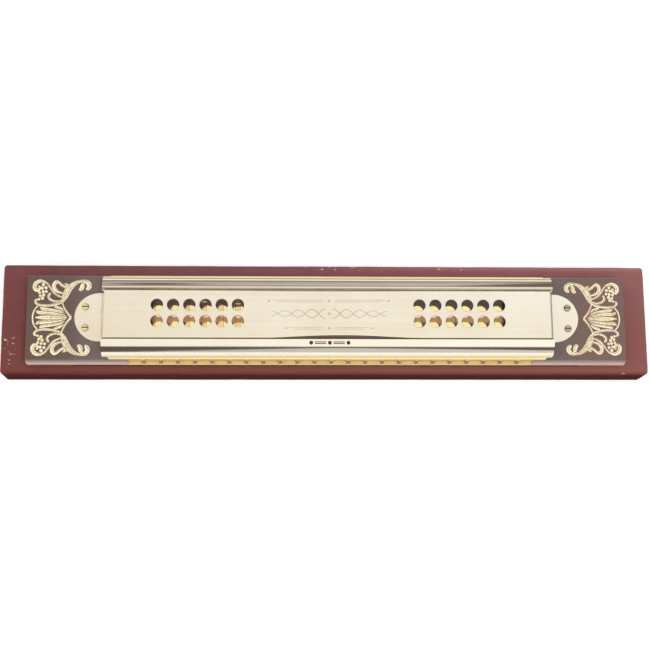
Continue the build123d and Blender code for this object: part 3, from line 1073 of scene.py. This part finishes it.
# The tray's outside from its foot to its rim, as (inset, height) in mm
TRAY_SIDE = [
    (0.8, 0.0), (0.35, 0.12), (0.1, 0.4), (0.0, 0.8), (0.0, 4.0), (0.0, 8.0), (0.0, 12.6), (0.12, 12.92),
    (0.3, 13.0),
]
TRAY_FOOT, TRAY_RIM = 0.3, 12.5  # in mm: wear stays between these
TRAY_WEAR = 0.08 * MM
TRAY_BOARD = 2.0 * MM
TRAY_INNER_CORNER = 0.2 * MM


def case_box_piece(material):
    low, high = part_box("case_box")
    middle, half = (low + high) / 2, (high - low) / 2
    rings = []
    for inset, z in TRAY_SIDE:
        x, y = half.x - inset * MM, half.y - inset * MM
        ring = rounded_rectangle(middle, x, y, CASE_CORNER, low.z + z * MM)
        rings.append([worn(point, TRAY_WEAR) if TRAY_FOOT < z < TRAY_RIM else point for point in ring])
    x, y = half.x - TRAY_BOARD, half.y - TRAY_BOARD
    for z in (high.z, low.z + TRAY_BOARD):
        rings.append(rounded_rectangle(middle, x, y, TRAY_INNER_CORNER, z))
    target = bmesh.new()
    rings_to_mesh(target, rings)
    piece("case_tray", target, CASE_SHARP, (material,), CASE, ("case_box",))


# ------------------------------------------------------------ camera, light and floor


def camera():
    data = bpy.data.cameras.new("camera")
    data.sensor_width = 36.0
    data.lens = 77.76
    data.shift_x = -0.0151
    data.shift_y = -0.0143
    data.clip_start = 0.01
    made = link("camera", data)
    made.location = Vector((-23.8, -115.8, 563.8)) * MM
    made.rotation_euler = Euler([math.radians(angle) for angle in (12.081, -2.709, -0.427)])
    bpy.context.scene.camera = made


def area_light(name, place, aim, size, power):
    data = bpy.data.lights.new(name, "AREA")
    data.shape = "RECTANGLE"
    data.size, data.size_y = size
    data.energy = power
    made = link(name, data)
    made.location = Vector(place)
    made.rotation_euler = (Vector(aim) - Vector(place)).to_track_quat("-Z", "Y").to_euler()
    made.visible_glossy = False  # the world alone is what the metal mirrors


# What the polished metal sees in the studio, by degrees of lean from straight up towards the back
STUDIO = [
    (-90, (0.14, 0.12, 0.10)), (-55, (0.13, 0.11, 0.10)), (-48, (1.23, 1.22, 1.20)),
    (13.9, (1.23, 1.22, 1.20)), (14.9, (0.36, 0.31, 0.26)), (19.5, (0.36, 0.31, 0.26)),
    (22.0, (1.04, 1.00, 0.95)), (33.5, (1.00, 0.96, 0.91)), (36, (0.33, 0.28, 0.25)),
    (42, (0.37, 0.32, 0.29)), (45, (0.70, 0.64, 0.66)), (76, (0.53, 0.49, 0.49)),
    (82, (0.35, 0.31, 0.28)), (90, (0.35, 0.31, 0.28)),
]

# Shapes in the studio. Places to the side are the sideways part of a direction, leans are in degrees
MIDDLE_TURN = 0.045  # where the harmonica's middle is mirrored
WEDGE_START = 0.13
WEDGE_LEAN = 42
WEDGE_GROWTH = 560  # degrees of lean for a whole turn to the side
LENS_SIDE, LENS_HALF_LENGTH = -0.08, 0.031
LENS_LEAN, LENS_HALF_HEIGHT = 54, 11
PALE_SHAPE_LEAN = -56
PALE_SHAPE_FALL_LEFT, PALE_SHAPE_FALL_RIGHT = 210, 100
EVEN_WITHIN = 0.3  # past this to the side, the light's strength changes no more
BRIGHTER_TO_RIGHT = 0.45
DARK_SHAPE = (0.15, 0.13, 0.125, 1)
PALE_SHAPE = (0.72, 0.73, 0.76, 1)
LEFT_WALL = (1.15, 1.12, 1.07, 1)
RIGHT_WALL = (0.36, 0.38, 0.44, 1)
OVERHEAD = (1.0, 0.99, 0.97, 1)


def world():
    """A studio seen by direction: soft light overhead, dark low in front, pale walls behind and beside."""
    made = bpy.data.worlds.new("studio")
    bpy.context.scene.world = made
    made.use_nodes = True
    studio = Nodes(made.node_tree, "Generated")
    x, y, z = studio.split()
    lean = studio.math("MULTIPLY", studio.math("ARCTAN2", y, z), math.degrees(1))
    ramp = studio.node("ValToRGB", {0: studio.node("MapRange", {0: lean, 1: -90, 2: 90}).outputs[0]})
    elements = ramp.color_ramp.elements
    while len(elements) < len(STUDIO):
        elements.new(0.5)
    for element, (degrees, colour) in zip(elements, STUDIO):
        element.position = (degrees + 90) / 180
        element.color = (*colour, 1)
    colour = ramp.outputs[0]

    # dark shapes behind: a wedge that thickens to the right, and a thin lens on the left
    past_start = studio.most(studio.less(x, WEDGE_START), 0)
    wedge_top = studio.math("ADD", WEDGE_LEAN, studio.math("MULTIPLY", past_start, WEDGE_GROWTH))
    wedge = studio.both(
        studio.band(lean, WEDGE_LEAN - 2, WEDGE_LEAN),
        studio.band(studio.less(lean, wedge_top), 1, 0),
        studio.band(wedge_top, WEDGE_LEAN + 0.5, WEDGE_LEAN + 3),
    )
    lens_x = studio.math("DIVIDE", studio.less(x, LENS_SIDE), LENS_HALF_LENGTH)
    lens_lean = studio.math("DIVIDE", studio.less(lean, LENS_LEAN), LENS_HALF_HEIGHT)
    lens_reach = studio.total(studio.math("POWER", lens_x, 2), studio.math("POWER", lens_lean, 2))
    dark = studio.most(wedge, studio.band(lens_reach, 1.1, 0.8))
    colour = studio.blend(dark, colour, DARK_SHAPE)

    # a pale shape low in front, which cuts the dark band thin in the middle and leaves it deeper on the left
    aside = studio.less(x, MIDDLE_TURN)
    to_left = studio.most(studio.math("MULTIPLY", aside, -1), 0)
    to_right = studio.most(aside, 0)
    below = studio.chain(
        "SUBTRACT",
        (
            PALE_SHAPE_LEAN,
            studio.math("MULTIPLY", to_left, PALE_SHAPE_FALL_LEFT),
            studio.math("MULTIPLY", to_right, PALE_SHAPE_FALL_RIGHT),
            lean,
        ),
    )
    colour = studio.blend(studio.band(below, 0, 5), colour, PALE_SHAPE)

    # away from the front and the back the walls are plain
    beside = studio.blend(studio.band(x, -EVEN_WITHIN, EVEN_WITHIN), LEFT_WALL, RIGHT_WALL)
    wall = studio.blend(studio.band(z, 0.75, 0.92), beside, OVERHEAD)
    colour = studio.blend(studio.band(studio.size(x), 0.35, 0.6), colour, wall)
    background = studio.tree.nodes["Background"]
    studio.feed(background.inputs["Color"], colour)
    held = studio.most(studio.math("MINIMUM", x, EVEN_WITHIN), -EVEN_WITHIN)
    strength = studio.total(1.0, studio.math("MULTIPLY", held, BRIGHTER_TO_RIGHT))
    studio.feed(background.inputs["Strength"], strength)


FLOOR_RADIUS = 8.0
BACKDROP_RADIUS = 7.9
BACKDROP_HEIGHT = 12.0
BACKDROP_PALE = (0.78, 0.775, 0.765, 1)


def backdrop():
    """A pale wall far round the table. Only the camera sees it, so the studio's light still comes past it."""
    shader = Shader("pale_backdrop", Base_Color=(0, 0, 0, 1), Specular_IOR_Level=0.0, Emission_Strength=1.0)
    shader.surface.inputs["Emission Color"].default_value = BACKDROP_PALE
    rings = []
    for z in (0.0, BACKDROP_HEIGHT):
        rings.append([Vector((BACKDROP_RADIUS * x, BACKDROP_RADIUS * y, z)) for x, y in unit_circle(96)])
    target = bmesh.new()
    rings_to_mesh(target, rings, close_ends=False)
    made = link("backdrop", finish_mesh("backdrop", target))
    made.data.materials.append(shader.material)
    made.visible_diffuse = False
    made.visible_glossy = False
    made.visible_transmission = False
    made.visible_shadow = False
    made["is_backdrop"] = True


def floor(material):
    target = bmesh.new()
    bmesh.ops.create_circle(target, cap_ends=True, segments=64, radius=FLOOR_RADIUS)
    made = link("floor", finish_mesh("floor", target))
    made.data.materials.append(material)
    made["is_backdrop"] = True


# ------------------------------------------------------------ the scene


def paint_nodes():
    """Materials for the CAD nodes that are shown as they are."""
    plate_brass = brass("reed_plate_brass", linear(238, 221, 160), linear(230, 210, 146), 0.07, bow=0.94)
    reed_brass = brass("reed_brass", linear(236, 213, 150), linear(222, 186, 124), 0.12, (4000, 60, 4000))
    nail_brass = brass("nail_brass", linear(240, 221, 172), linear(192, 162, 104), 0.25, (900, 900, 900))
    by_node = {
        "comb": comb_material(),
        "upper_reed_plate": plate_brass,
        "lower_reed_plate": plate_brass,
        "cover_screws": screw_material(),
        "plate_nails": nail_brass,
        "reed_rivets": nail_brass,
        "reed_pads": reed_brass,
        "case_rests": board_material(),
    }
    for name, node in frame["nodes"].items():
        material = by_node.get(name, reed_brass)
        node.data.materials.clear()
        node.data.materials.append(material)


def main():
    camera()
    world()
    area_light("key", (0.1, -0.18, 1.0), (0, 0, 0.03), (0.35, 0.25), 3.1)
    bpy.context.scene.view_settings.view_transform = "Standard"
    paint_nodes()
    plate = (satin_plate_material(), polished_plate_material(), inside_plate_material(), groove_material())
    cover("upper", 1, plate)
    cover("lower", -1, plate)
    gold = (gold_leaf_material(), gold_shade_material())
    end_ornament("low_end_ornament", -1, gold)
    end_ornament("high_end_ornament", 1, gold)
    flourish(engraving_material())
    printed_row(print_material())
    paper = case_paper_material()
    platform_piece(paper)
    case_box_piece(paper)
    floor(floor_material())
    backdrop()
    boxes = {"cad": CAD_BOX, "visual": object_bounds()}
    {name: [list(low), list(high)] for name, (low, high) in boxes.items()}


main()
